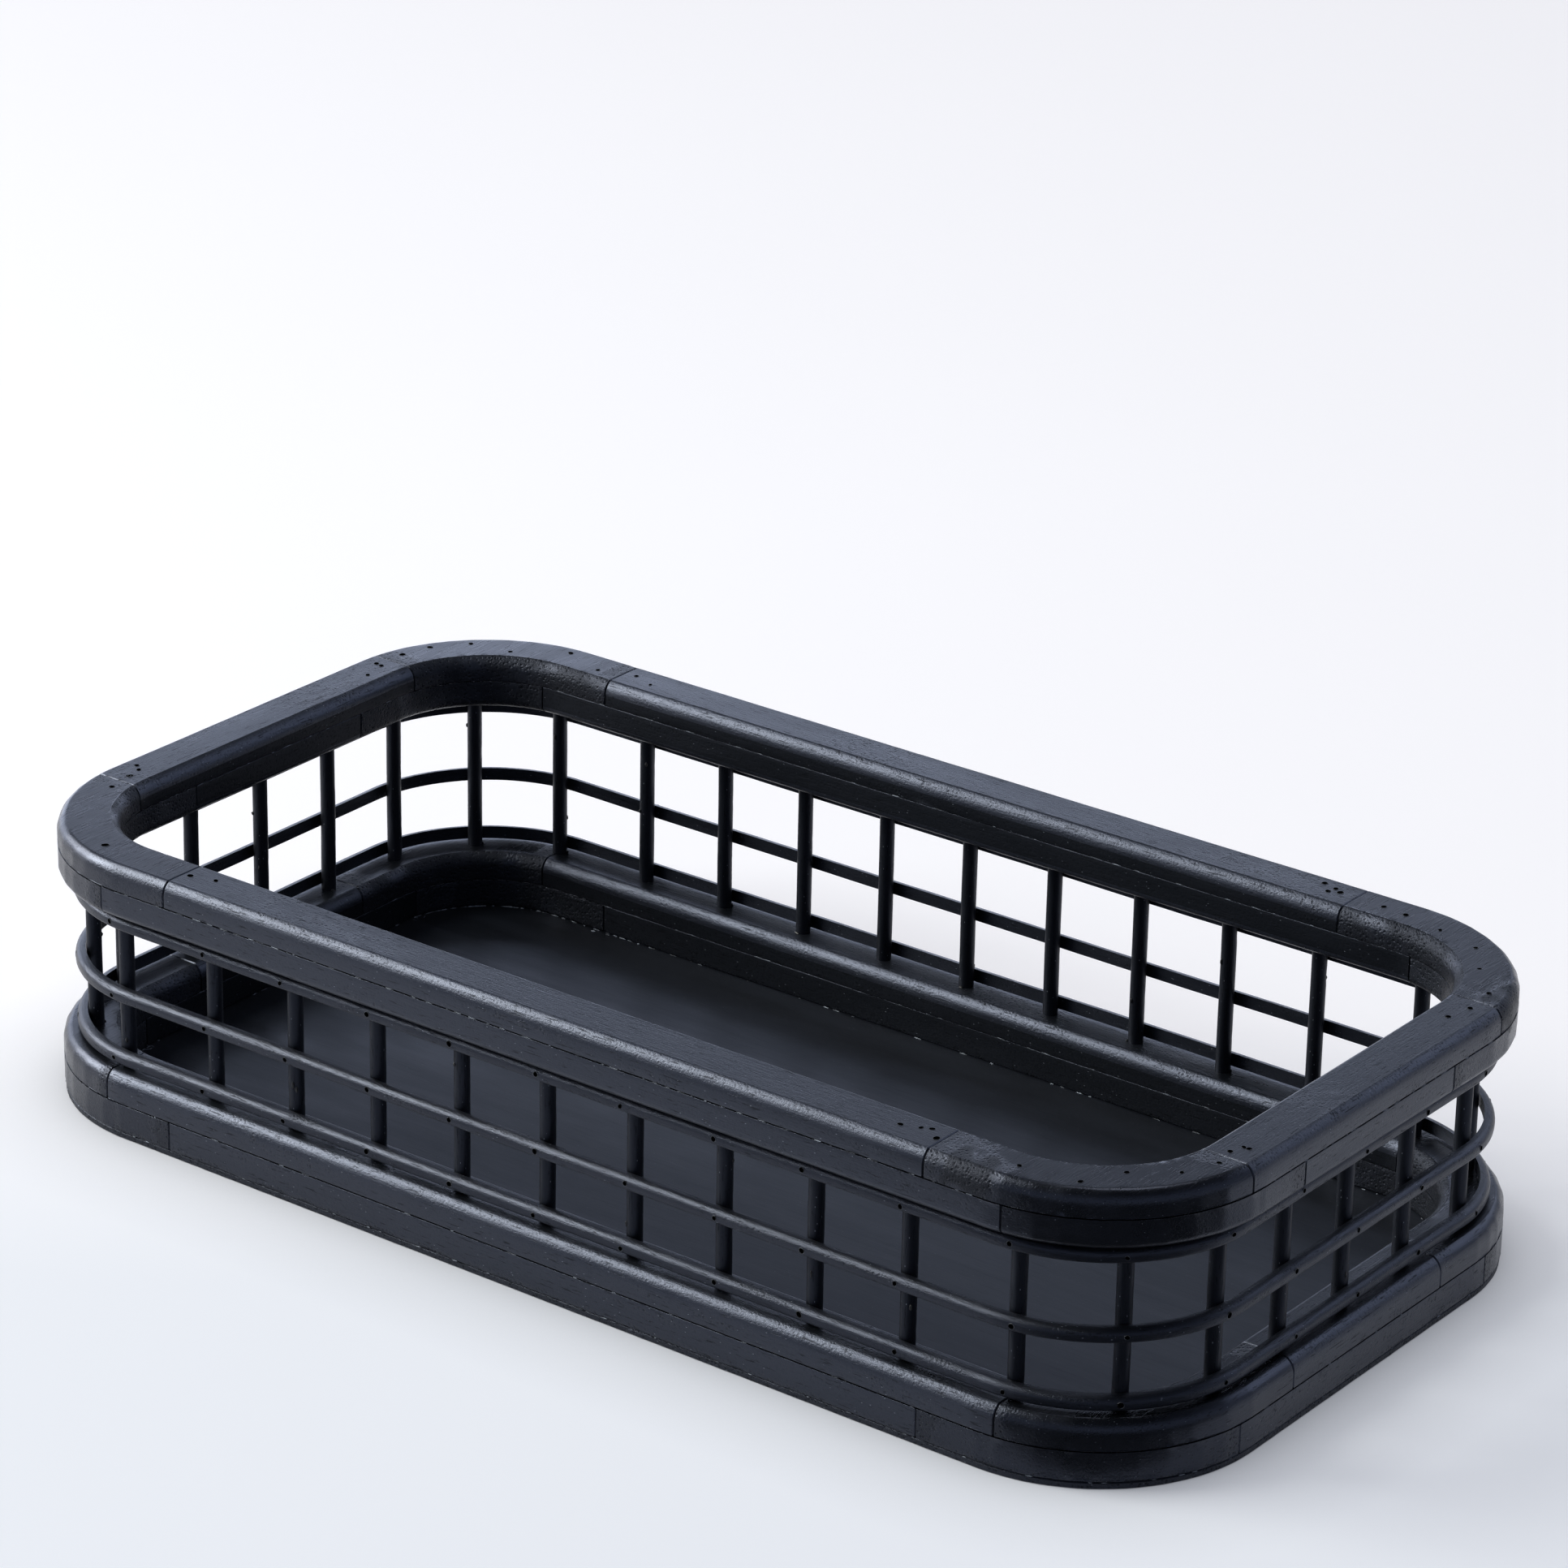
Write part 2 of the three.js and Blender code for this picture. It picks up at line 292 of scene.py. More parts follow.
# Adds one node and gives one of its outputs. Small-letter names are its settings, names with a capital
# and i0, i1 are sockets by name or number, and stops are the places and colours of a ramp.
def node(tree, kind, output=0, stops=(), **wiring):
    made = tree.nodes.new(kind)
    for i, (place, colour) in enumerate(stops):
        stop = made.color_ramp.elements[i]
        stop.position = place
        stop.color = colour if isinstance(colour, tuple) else (colour, colour, colour, 1)
    for key, value in wiring.items():
        if not (key[0].isupper() or key[1:].isdigit()):
            setattr(made, key, value)
            continue
        socket = made.inputs[int(key[1:]) if key[1:].isdigit() else key]
        if isinstance(value, bpy.types.NodeSocket):
            tree.links.new(value, socket)
        else:
            socket.default_value = value
    return made.outputs[output]


ATTRIBUTE, PLACE, VECTOR = "ShaderNodeAttribute", "ShaderNodeTexCoord", "ShaderNodeVectorMath"
CLOUDS, CELLS, RAMP = "ShaderNodeTexNoise", "ShaderNodeTexVoronoi", "ShaderNodeValToRGB"
MATHS, MIX, BUMP = "ShaderNodeMath", "ShaderNodeMix", "ShaderNodeBump"


# A new material, its node tree and its shader's sockets
def new_material(name):
    material = bpy.data.materials.new(name)
    material.use_nodes = True
    return material, material.node_tree, material.node_tree.nodes["Principled BSDF"].inputs


# Stained bamboo: the wiped black finish is satin, cool and a little patchy. Fibres a few millimetres long
# give the highlights a leathery streak, open pores show as short dark dashes, and stray fibres show as pale
# specks, which partly stand for sparkle and so are partly painted glint. Where the end grain is torn the
# surface is pitted and blacker, from stain and from painted shade in the pits, and its sparkle is painted
# glint colour.
COOL_SHEEN = "#d3deff"
# Black of the stain in pores, and painted shade in torn pits
PORE_STAIN_AND_PIT_SHADE = "#030405"
# Pale of stray fibres, and the painted glint colour on torn grain
PALE_FIBRE_AND_GLINT = "#787d88"
# The real stipple is about 0.4 mm across and the stray fibres 0.1 mm wide. Both are too fine to show, so
# the grit is drawn a third coarser and the specks twice as wide.
PATCH_SIZE = (60, 13)
GRIT_SIZE = (0.6, 0.5)
PIT_SPACING = (1.9, 1.7)
SPECK_SPACING = (5, 1.8)


# Fibres and pores are given as their length and width, and the relief in millimetres
def stained_bamboo(name, dark, light, roughness, gloss, fibre, pore, pore_share, grit_depth, torn_depth,
                   speck, relief):
    material, tree, shader = new_material(name)
    grain = node(tree, ATTRIBUTE, "Vector", attribute_name="grain")
    torn = node(tree, ATTRIBUTE, "Fac", attribute_name="torn")
    sizes = {"fibre": fibre, "pore": pore, "patch": PATCH_SIZE, "grit": GRIT_SIZE, "pit": PIT_SPACING,
             "speck": SPECK_SPACING}
    spread = {what: node(tree, VECTOR, operation="MULTIPLY", i0=grain, i1=(1 / long, 1 / wide, 1 / wide))
              for what, (long, wide) in sizes.items()}
    fibres = node(tree, CLOUDS, Vector=spread["fibre"], Scale=1.0, Detail=3.0, Roughness=0.55)
    patches = node(tree, CLOUDS, Vector=spread["patch"], Scale=1.0, Detail=3.0)
    grit = node(tree, CLOUDS, Vector=spread["grit"], Scale=1.0, Detail=3.0, Roughness=0.65)
    dashes = node(tree, CLOUDS, Vector=spread["pore"], Scale=1.0, Detail=2.0)
    pores = node(tree, RAMP, Fac=dashes, stops=((0.62, 0.0), (0.69, pore_share)))
    dots = node(tree, CELLS, Vector=spread["speck"], Scale=1.0)
    specks = node(tree, RAMP, Fac=dots, stops=((speck, 0.8), (speck + 0.03, 0.0)))
    hollows = node(tree, CELLS, Vector=spread["pit"], Scale=1.0)
    hollows = node(tree, RAMP, Fac=hollows, stops=((0.10, 1.0), (0.45, 0.0)))
    pits = node(tree, MATHS, operation="MULTIPLY", i0=hollows, i1=torn)

    tone = node(tree, MATHS, operation="MULTIPLY_ADD", i0=patches, i1=1.3, i2=fibres)
    colour = node(tree, RAMP, Fac=node(tree, MATHS, operation="MULTIPLY", i0=tone, i1=0.45),
                  stops=((0.36, linear(dark)), (0.70, linear(light))))
    ravelled = node(tree, RAMP, Fac=torn, stops=((0.65, 0.0), (1.0, 0.6)))
    # Painted glint: pale colour on the highest grit of ravelled grain, in place of sparkle
    painted_glints = node(tree, RAMP, Fac=grit, stops=((0.64, 0.0), (0.72, 0.6)))
    painted_glints = node(tree, MATHS, operation="MULTIPLY", i0=painted_glints, i1=ravelled)
    marks = ((pores, PORE_STAIN_AND_PIT_SHADE), (pits, PORE_STAIN_AND_PIT_SHADE), (specks, PALE_FIBRE_AND_GLINT), (painted_glints, PALE_FIBRE_AND_GLINT))
    for share, over in marks:
        colour = node(tree, MIX, 2, data_type="RGBA", i0=share, i6=colour, i7=linear(over))
    tree.links.new(colour, shader["Base Color"])

    rough = node(tree, RAMP, Fac=patches, stops=((0.30, roughness - 0.06), (0.70, roughness + 0.07)))
    # In pores and pits the lowered gloss is painted shade; on ravelled grain the dullness is its real matt
    # surface
    hollow_shade = node(tree, MATHS, operation="MAXIMUM", i0=pores, i1=pits)
    dull = node(tree, MATHS, operation="MAXIMUM", i0=hollow_shade, i1=ravelled)
    rough = node(tree, MATHS, operation="MULTIPLY_ADD", i0=dull, i1=0.3, i2=rough)
    tree.links.new(rough, shader["Roughness"])
    sheen = node(tree, MATHS, operation="MULTIPLY_ADD", i0=dull, i1=-0.85 * gloss, i2=gloss)
    tree.links.new(sheen, shader["Specular IOR Level"])

    height = node(tree, MATHS, operation="MULTIPLY_ADD", i0=grit, i1=grit_depth, i2=fibres)
    height = node(tree, MATHS, operation="MULTIPLY_ADD", i0=pores, i1=-0.6, i2=height)
    height = node(tree, MATHS, operation="MULTIPLY_ADD", i0=pits, i1=-torn_depth, i2=height)
    torn_grit = node(tree, MATHS, operation="MULTIPLY", i0=grit, i1=torn)
    height = node(tree, MATHS, operation="MULTIPLY_ADD", i0=torn_grit, i1=torn_depth, i2=height)
    bumps = node(tree, BUMP, Height=height, Strength=0.6, Distance=relief * MM)
    tree.links.new(bumps, shader["Normal"])
    shader["IOR"].default_value = 1.5
    shader["Specular Tint"].default_value = linear(COOL_SHEEN)
    return material


# Rails are wiped to a satin, which draws one long highlight along each rounding
RAIL = stained_bamboo(
    "bamboo_rail_stained_wiped_satin", "#06080a", "#0e1015", roughness=0.33, gloss=0.63, fibre=(9, 0.7),
    pore=(8, 0.7), pore_share=0.6, grit_depth=0.5, torn_depth=2.5, speck=0.05, relief=0.15)
# Blocks show end grain, which takes more stain and looks blacker
BLOCK = stained_bamboo(
    "bamboo_block_stained_end_grain", "#050607", "#0b0c10", roughness=0.29, gloss=0.56, fibre=(9, 0.8),
    pore=(7, 0.7), pore_share=0.5, grit_depth=0.3, torn_depth=3.0, speck=0.04, relief=0.15)
# The rails' inner faces take a duller, darker copy of the finish, which paints shade on them inside the tray
RAIL_INSIDE = stained_bamboo(
    "bamboo_rail_inner_painted_shade", "#06080a", "#0c0e12", roughness=0.45, gloss=0.22, fibre=(9, 0.9),
    pore=(8, 0.8), pore_share=0.5, grit_depth=0.3, torn_depth=1.5, speck=0.05, relief=0.17)
# Turned dowels have a thin, dull coat that lets a little grey through
DOWEL = stained_bamboo(
    "bamboo_dowel_stained_turned", "#0c0e12", "#15171d", roughness=0.42, gloss=0.24, fibre=(8, 0.8),
    pore=(6, 0.6), pore_share=0.5, grit_depth=0.4, torn_depth=1.4, speck=0.05, relief=0.17)
# The half-round strips are rougher from the cutter, which breaks up their highlights
STRIP = stained_bamboo(
    "bamboo_strip_stained_half_round", "#08090c", "#101217", roughness=0.34, gloss=0.46, fibre=(6, 0.7),
    pore=(5, 0.6), pore_share=0.5, grit_depth=0.7, torn_depth=2.0, speck=0.05, relief=0.22)
# The board is rolled smooth, so it mirrors the studio softly, like slate
PANEL = stained_bamboo(
    "bamboo_board_stained_rolled", "#0a0c10", "#11141a", roughness=0.44, gloss=0.50, fibre=(90, 5.0),
    pore=(20, 0.7), pore_share=0.1, grit_depth=0.3, torn_depth=1.5, speck=0.02, relief=0.1)
# Its sawn edge is coarse and a little paler
SAWN_EDGE = stained_bamboo(
    "bamboo_board_sawn_edge", "#0a0b0e", "#14161b", roughness=0.42, gloss=0.42, fibre=(4, 0.7),
    pore=(3, 0.8), pore_share=0.6, grit_depth=0.8, torn_depth=1.2, speck=0.06, relief=0.35)


# A small surface that one fine noise breaks up between two colours and two roughnesses
def mottled(name, dark, light, size, smooth, rough, depth, gloss):
    material, tree, shader = new_material(name)
    place = node(tree, PLACE, "Object")
    mottle = node(tree, CLOUDS, Vector=place, Scale=1 / (size * MM), Detail=3.0)
    colour = node(tree, RAMP, Fac=mottle, stops=((0.40, linear(dark)), (0.68, linear(light))))
    tree.links.new(colour, shader["Base Color"])
    roughness = node(tree, RAMP, Fac=mottle, stops=((0.30, smooth), (0.70, rough)))
    tree.links.new(roughness, shader["Roughness"])
    relief = node(tree, BUMP, Height=mottle, Strength=0.5, Distance=depth * MM)
    tree.links.new(relief, shader["Normal"])
    shader["Specular IOR Level"].default_value = gloss
    return material


# Steel brads, punched below the surface: a dark lip with pale mottles of painted glint, round a hole painted
# black as its shade
BRAD_LIP = mottled("bamboo_lip_by_brad_painted_glint", "#060708", "#5c6068",
                   size=1.6, smooth=0.25, rough=0.5, depth=0.1, gloss=0.4)
BRAD_HOLE = mottled("brad_hole_painted_shade", "#010101", "#030304",
                    size=0.6, smooth=0.8, rough=0.95, depth=0.1, gloss=0.0)
# Dried wood glue and sanding dust caught in a joint: pale, matt, unevenly grey
GLUE = mottled("wood_glue_dried_dusty", "#262a33", "#a6aebd",
               size=5.0, smooth=0.6, rough=0.9, depth=0.2, gloss=0.3)

# Rims: each rail and corner block is two laminations that stop at different places
LEVELS = {
    "bottom": (BOTTOM_RAIL_LOW.z, BOTTOM_RAIL_LOW.z + LAYER_HEIGHT, BOTTOM_RAIL_HIGH.z),
    "top": (TOP_RAIL_LOW.z, TOP_RAIL_LOW.z + LAYER_HEIGHT, TOP_RAIL_HIGH.z),
}
FOOT_EDGE = {"bottom": SQUARE_EDGE, "top": RIM_FOOT_ROUND}
RAIL_SANDING = {"spacing": 4.0, "depth": 0.22, "wave": 38.0}
BLOCK_SANDING = {"spacing": 1.7, "depth": 0.2, "wave": 24.0}
SLOW_WAVE_RISE = 20.0
QUICK_WAVE_RISE = 8.0
QUICK_WAVES = 3.1
QUICK_SHIFT = 1.7
FLAT_WIDTH = 13.0
FLAT_DEPTH = 0.26
FLAT_STRAY = 25.0
FLAT_SHIFT = 0.37
LEAST_SLANT = 0.02
TEAR_DEPTH = 0.22
TEAR_SIZE = 2.3
FRAY_REACH = 15.0
FRAY_STRAY = 9.0
FOOT_TEAR = 2.6
# Torn patches on the top rim, at the front right and the back right corner
TORN_PATCHES = (
    Vector((ARC_X - 8, 3 - HALF_WIDTH, TOP_RAIL_HIGH.z - 4.6)),
    Vector((HALF_LENGTH - 4, ARC_Y + 21, TOP_RAIL_HIGH.z - 5.6)),
)
TORN_PATCH_REACH = 22.0
TORN_PATCH_STRAY = 10.0


# Hand sanding leaves long shallow waves on a rail, and shorter ones on a block
def sanded_away(place, seed, sanding):
    wave = sanding["wave"]
    slow = Vector((place.x / wave, place.y / wave, place.z / SLOW_WAVE_RISE + seed))
    quick_x, quick_y = place.x / wave * QUICK_WAVES, place.y / wave * QUICK_WAVES
    quick = Vector((quick_x, quick_y, place.z / QUICK_WAVE_RISE + seed * QUICK_SHIFT))
    return sanding["depth"] * (0.5 + 0.4 * noise.noise(slow) + 0.1 * noise.noise(quick))


# A file leaves flats side by side round the outside of an arc, with soft ridges between them
def filed_away(course, out, facing, seed):
    if abs(out.x * out.y) < LEAST_SLANT:
        return 0.0
    stray = 0.5 * noise.noise(Vector((course / FLAT_STRAY, seed, 0)))
    share = (course / FLAT_WIDTH + stray + seed * FLAT_SHIFT) % 1
    return FLAT_DEPTH * 4 * share * (1 - share) * max(0.0, facing.xy.dot(out)) ** 2


def grain_offset(seed):
    return Vector((seed * 37.0, seed * 53.0, seed * 71.0))


# A lamination between two cuts, each of which gives a course for an inset
def lamination(name, section, start, end, seed, sanding, grain_way, torn_of):
    length = end(0) - start(0)
    steps = max(4, round(length / sanding["spacing"]))
    shares = [0.0, END_EDGE / length, *(i / steps for i in range(1, steps)), 1 - END_EDGE / length, 1.0]
    across = Vector((-grain_way.y, grain_way.x, 0))
    offset = grain_offset(seed)
    rings = []
    for share in shares:
        eased = END_EDGE if share in (0.0, 1.0) else 0.0
        ring = []
        for point, normal in zip(section, section_normals(section)):
            inset, height = point - normal * eased
            course = start(inset) * (1 - share) + end(inset) * share
            plan, out = course_place(course, inset)
            place = Vector((plan.x, plan.y, height))
            facing = Vector((-normal.x * out.x, -normal.x * out.y, normal.y))
            torn = torn_of(place, facing, min(share, 1 - share) * length)
            worn = sanded_away(place, seed, sanding) + filed_away(course, out, facing, seed)
            worn += torn * TEAR_DEPTH * max(0.0, noise.noise(place / TEAR_SIZE + offset))
            grain = Vector((place.dot(grain_way), place.dot(across), place.z)) + offset
            ring.append((place - facing * worn, grain, torn))
        rings.append(ring[::-1])
    return bar_piece(name, rings)


# Gives the faces on a lamination's inner side its second material, the duller copy that paints their shade
def shade_inside_faces(piece, section):
    inner = [point.x > RIM_WIDTH - SEAM_EDGE / 10 for point in reversed(section)]
    size = len(section)
    for i, face in enumerate(piece.data.polygons[:-2 * size]):
        face.material_index = int(inner[i % size] and inner[(i + 1) % size])


# In one layer the long rails run on into the arc, in the other the short ones do
def runs_on(rim, layer, side):
    return (side in ("front", "back")) == ((rim == "top") == (layer == "lower"))


# The cut at a side's end, as a course for an inset: past is how much further out than the rail it lies, and
# lap is added to the course
def end_cut(rim, layer, side, sign, past, lap=0.0):
    arc_start = SIDE_MIDDLE[side] + sign * SIDE_HALF[side] + lap
    if runs_on(rim, layer, side):
        return lambda inset: arc_start + sign * arc_cut(RUN_ON + past, inset)
    return lambda inset: arc_start - sign * (CORNER_ARM - past)


# The last corner ends at the front, where the course has gone once round
def lap_before(side):
    return ROUND_COURSE if side == "front" else 0.0


# The bottom rim's foot is torn along the panel, in a ragged row
def foot_torn(place):
    near = smooth_step(BOTTOM_RAIL_LOW.z + FOOT_TEAR, BOTTOM_RAIL_LOW.z + FOOT_TEAR / 3, place.z)
    return near * min(1.0, max(0.0, 0.6 + noise.noise(place / 9)))


# A rail is ragged along its arris, stippled on its rounding, rough on its inner face and torn in short
# streaks. A block is frayed in places beside its joints, torn inside, where it can't be sanded well, and
# only stippled where end grain faces out.
def rail_torn(seed, way):
    across = Vector((way.y, way.x, 0))

    def torn_of(place, facing, from_end):
        streak = noise.noise(Vector((place.dot(way) / 55, place.z / 5, seed * 3.3)))
        arris = smooth_step(0.9, 0.95, facing.z) * smooth_step(0.998, 0.99, facing.z)
        arris *= min(0.9, max(0.0, 0.5 + 1.2 * noise.noise(place / 12)))
        stipple = 0.1 + 0.14 * smooth_step(0.3, 0.6, facing.z) * smooth_step(0.99, 0.9, facing.z)
        inward = smooth_step(0.7, 0.95, -facing.dot(across) * math.copysign(1, place.dot(across)))
        streaked = smooth_step(0.1, 0.5, streak) * min(0.8, max(0.1, 0.4 + noise.noise(place / 4)))
        return max(streaked, arris, stipple, 0.25 * inward, foot_torn(place))
    return torn_of


def block_torn(seed, way):
    shift = Vector((seed, 0, 0))

    def torn_of(place, facing, from_end):
        ragged = 0.6 + 0.8 * noise.noise(place / 14 + shift)
        end_grain = 0.2 * smooth_step(0.5, 0.95, abs(facing.dot(way))) * min(max(ragged, 0.2), 1.0)
        from_joint = from_end + FRAY_STRAY * noise.noise(place / 6 + shift)
        frayed = 0.8 * smooth_step(FRAY_REACH, FRAY_REACH / 3, from_joint)
        frayed *= smooth_step(-0.3, 0.1, noise.noise(place / 40 + Vector((0, seed, 0))))
        aways = [place - spot for spot in TORN_PATCHES]
        from_patch = min((away + Z_WAY * away.z).length for away in aways)
        from_patch += TORN_PATCH_STRAY * noise.noise(place / 7)
        patch = smooth_step(TORN_PATCH_REACH, TORN_PATCH_REACH / 2, from_patch)
        unsanded = smooth_step(0.0, -20.0, facing.xy.dot(place.xy)) * min(max(0.4 + ragged, 0.5), 1.0)
        return max(end_grain, unsanded, frayed, patch, foot_torn(place))
    return torn_of


def rim_pieces(rim, first_seed):
    foot, seam, head = LEVELS[rim]
    under, over = seam - SEAM_GAP / 2, seam + SEAM_GAP / 2
    layers = {
        "lower": layer_section(foot, under, FOOT_EDGE[rim], SEAM_EDGE, head_lean=SEAM_CLOSING),
        "upper": layer_section(over, head, SEAM_EDGE, RIM_EDGE_ROUND, SEAM_CLOSING, arris=ARRIS_ANGLE),
    }
    seed = first_seed
    for layer, section in layers.items():
        for side, way in SIDE_GRAIN.items():
            seed += 1
            start, end = end_cut(rim, layer, side, -1, 0), end_cut(rim, layer, side, 1, 0)
            solid, torn_of = f"{rim}_rail_{side}", rail_torn(seed, way)
            piece = lamination(f"{solid}_{layer}", section, start, end, seed, RAIL_SANDING, way, torn_of)
            finish_piece(piece, [RAIL, RAIL_INSIDE], "stained_rim", solid)
            shade_inside_faces(piece, section)
        for corner, (before, after) in CORNERS.items():
            seed += 1
            start = end_cut(rim, layer, before, 1, JOINT_GAP)
            end = end_cut(rim, layer, after, -1, JOINT_GAP, lap_before(after))
            way = X_WAY if (rim, layer) == ("top", "lower") else Y_WAY
            solid, torn_of = f"{rim}_corner_{corner}", block_torn(seed, way)
            piece = lamination(f"{solid}_{layer}", section, start, end, seed, BLOCK_SANDING, way, torn_of)
            finish_piece(piece, [BLOCK], "stained_rim", solid)


rim_pieces("bottom", 0)
rim_pieces("top", 20)

# Dowels: turned rods, a little out of round and out of true, with a few dents
DOWEL_SIDES = 28
DOWEL_RINGS = 30
DOWEL_SLACK = 0.06
DOWEL_LEAN = 0.22
DOWEL_DENT = 0.5
DOWEL_DENT_FROM = 0.35
DOWEL_TORN = 0.35
DOWEL_WOBBLE = 0.05
DOWEL_SEED = 41


def dowel_rod(solid, seed):
    low, high = box_mm(solid)
    middle = (low + high) / 2
    radius = (high.x - low.x) / 2
    offset = grain_offset(seed)
    rings = []
    for i in range(DOWEL_RINGS + 1):
        height = low.z + (high.z - low.z) * i / DOWEL_RINGS
        lean = [noise.noise(Vector((height / 45, seed, lane))) * DOWEL_LEAN for lane in (0, 9)]
        ring = []
        for j in range(DOWEL_SIDES):
            turn = 2 * math.pi * j / DOWEL_SIDES
            out = Vector((math.cos(turn), math.sin(turn), 0))
            dent = noise.noise(out * 1.2 + Z_WAY * (height / 6 + seed)) - DOWEL_DENT_FROM
            wobble = DOWEL_WOBBLE * noise.noise(out * 1.5 + Vector((seed, 0, height / 20)))
            reach = radius - DOWEL_SLACK + wobble - max(0.0, dent) * DOWEL_DENT
            place = Vector((middle.x + lean[0], middle.y + lean[1], height)) + out * reach
            torn = DOWEL_TORN * smooth_step(0.3, 0.6, noise.noise(place / 7 + offset))
            ring.append((place, Vector((place.z, place.x, place.y)) + offset, torn))
        rings.append(ring)
    finish_piece(bar_piece(solid + "_rod", rings), [DOWEL], "stained_dowel", solid)


for count, solid in enumerate(DOWELS):
    dowel_rod(solid, DOWEL_SEED + count)

# Bands: half-round strips that bow a little between the dowels
BAND_START = SIDE_MIDDLE["left"] - BAND_SEAM + BAND_SEAM_GAP / 2
BAND_COURSE = ROUND_COURSE - BAND_SEAM_GAP
BAND_STEP = 4.0
BAND_STEPS = round(BAND_COURSE / BAND_STEP)
BAND_BOW = 0.45
BAND_BOWS = 2.6
BAND_WEAR = 0.07
BAND_WEAR_SPREAD = 0.08
BAND_TORN = 0.4
BAND_SEED = {"band_lower": 81, "band_middle": 82, "band_upper": 83}


# How far a band rises or dips at a place on its course
def band_rise(band, course):
    turn = 2 * math.pi * course / ROUND_COURSE
    across, over = math.cos(turn) * BAND_BOWS, math.sin(turn) * BAND_BOWS
    return BAND_BOW * noise.noise(Vector((across, over, BAND_SEED[band] * 5.1)))


def band_strip(band):
    seed = BAND_SEED[band]
    low, high = box_mm(band)
    section = band_section(low.z, high.z)
    rings = []
    for i in range(BAND_STEPS + 1):
        course = BAND_START + BAND_COURSE * i / BAND_STEPS
        ring = []
        for point, normal in zip(section, section_normals(section)):
            uneven = noise.noise(Vector((course / 14, point.x / 3, point.y / 3 + seed)))
            inset, height = point - normal * max(BAND_WEAR + BAND_WEAR_SPREAD * uneven, 0.0)
            plan, out = course_place(course, inset)
            streak = noise.noise(Vector((course / 30, height / 2, seed)))
            torn = BAND_TORN * smooth_step(0.1, 0.45, streak)
            place = Vector((plan.x, plan.y, height + band_rise(band, course)))
            ring.append((place, Vector((course, inset, height)) + grain_offset(seed), torn))
        rings.append(ring[::-1])
    finish_piece(bar_piece(band + "_strip", rings), [STRIP], "stained_strip", band)


for band in BANDS:
    band_strip(band)

# Base panel: a thin board whose sawn edge is slightly ragged
PANEL_STEP = 5.0
PANEL_STEPS = round(ROUND_COURSE / PANEL_STEP)
PANEL_ARRIS_RAG = 0.3
PANEL_EDGE_RAG = 0.35
PANEL_EDGE_TORN = 0.7
PANEL_INNER_RINGS = (2.0, 6.0, 14.0, 26.0, 40.0, 55.0, 70.0)
PANEL_SEED = 91


def panel_ring(inset, height, ragged):
    ring = []
    for i in range(PANEL_STEPS):
        course = ROUND_COURSE * i / PANEL_STEPS
        rag = ragged * (0.5 + 0.5 * noise.noise(Vector((course / 3.0, height, PANEL_SEED))))
        plan = course_place(course, PANEL_INSET + inset + rag)[0]
        ring.append(Vector((plan.x, plan.y, height)))
    return ring


def panel_board():
    top, edge, rag = PANEL_HIGH.z, SQUARE_EDGE, PANEL_ARRIS_RAG
    rings = [panel_ring(inset, 0.0, 0.0) for inset in reversed(PANEL_INNER_RINGS)]
    rings += [panel_ring(edge, 0.0, rag), panel_ring(0.0, edge, rag)]
    rings += [panel_ring(0.0, top / 2, PANEL_EDGE_RAG)]
    rings += [panel_ring(0.0, top - edge, rag), panel_ring(edge, top, rag)]
    rings += [panel_ring(inset, top, 0.0) for inset in PANEL_INNER_RINGS]
    points = [place for ring in rings for place in ring]
    faces = ring_faces(len(rings), PANEL_STEPS)
    faces.append(tuple(reversed(range(PANEL_STEPS))))
    faces.append(tuple(range(len(points) - PANEL_STEPS, len(points))))
    torns = [PANEL_EDGE_TORN if 0.1 < p.z < top - 0.1 else 0.0 for p in points]
    board = make_piece("base_panel_board", points, faces, [p.copy() for p in points], torns)
    finish_piece(board, [PANEL, SAWN_EDGE], "stained_panel", "base_panel")
    for face in board.data.polygons:
        face.material_index = 1 if abs(face.normal.z) < 0.9 else 0


panel_board()

# Brads: small craters, each a lip of pushed-up fibre round a hole painted black as its shade
CRATER = ((1.0, -0.12), (0.95, 0.13), (0.90, 0.15), (0.85, 0.13))
CRATER_SIDES = 12


def brad_holes(name, spots, slot):
    points, faces, holes = [], [], []
    for place, facing, radius, stretch, spin in spots:
        side = Vector((facing.y, -facing.x, 0)).normalized() if abs(facing.z) < 0.9 else X_WAY
        over = facing.cross(side)
        first = len(points)
        for share, rise in CRATER:
            for j in range(CRATER_SIDES):
                turn = 2 * math.pi * j / CRATER_SIDES
                swing = Matrix.Rotation(spin, 2) @ Vector((math.cos(turn) * stretch, math.sin(turn)))
                points.append(place + (side * swing.x + over * swing.y) * share * radius + facing * rise)
        faces += ring_faces(len(CRATER), CRATER_SIDES, first)
        faces.append(tuple(reversed(range(first, first + CRATER_SIDES))))
        holes.append(len(faces))
        faces.append(tuple(range(len(points) - CRATER_SIDES, len(points))))
    piece = make_piece(name, points, faces)
    finish_piece(piece, [BRAD_LIP, BRAD_HOLE], slot)
    for hole in holes:
        piece.data.polygons[hole].material_index = 1


# One brad for each dowel in each band, a little beside the dowel's middle. The shape of a brad's hole is its
# radius, how far it is stretched and how far it is turned.
BAND_BRAD_STRAY = 1.6
BAND_BRAD_SINK = 0.13
BAND_BRAD_HEIGHT = 0.42
BAND_BRAD_RISE = (-0.4, 0.6)
BAND_BRAD_RADIUS = (1.15, 1.4)
BAND_BRAD_STRETCH = (0.75, 1.2)
chance = random.Random(7)


def brad_shape(radius, stretch):
    return chance.uniform(*radius), chance.uniform(*stretch), chance.uniform(0, 3)


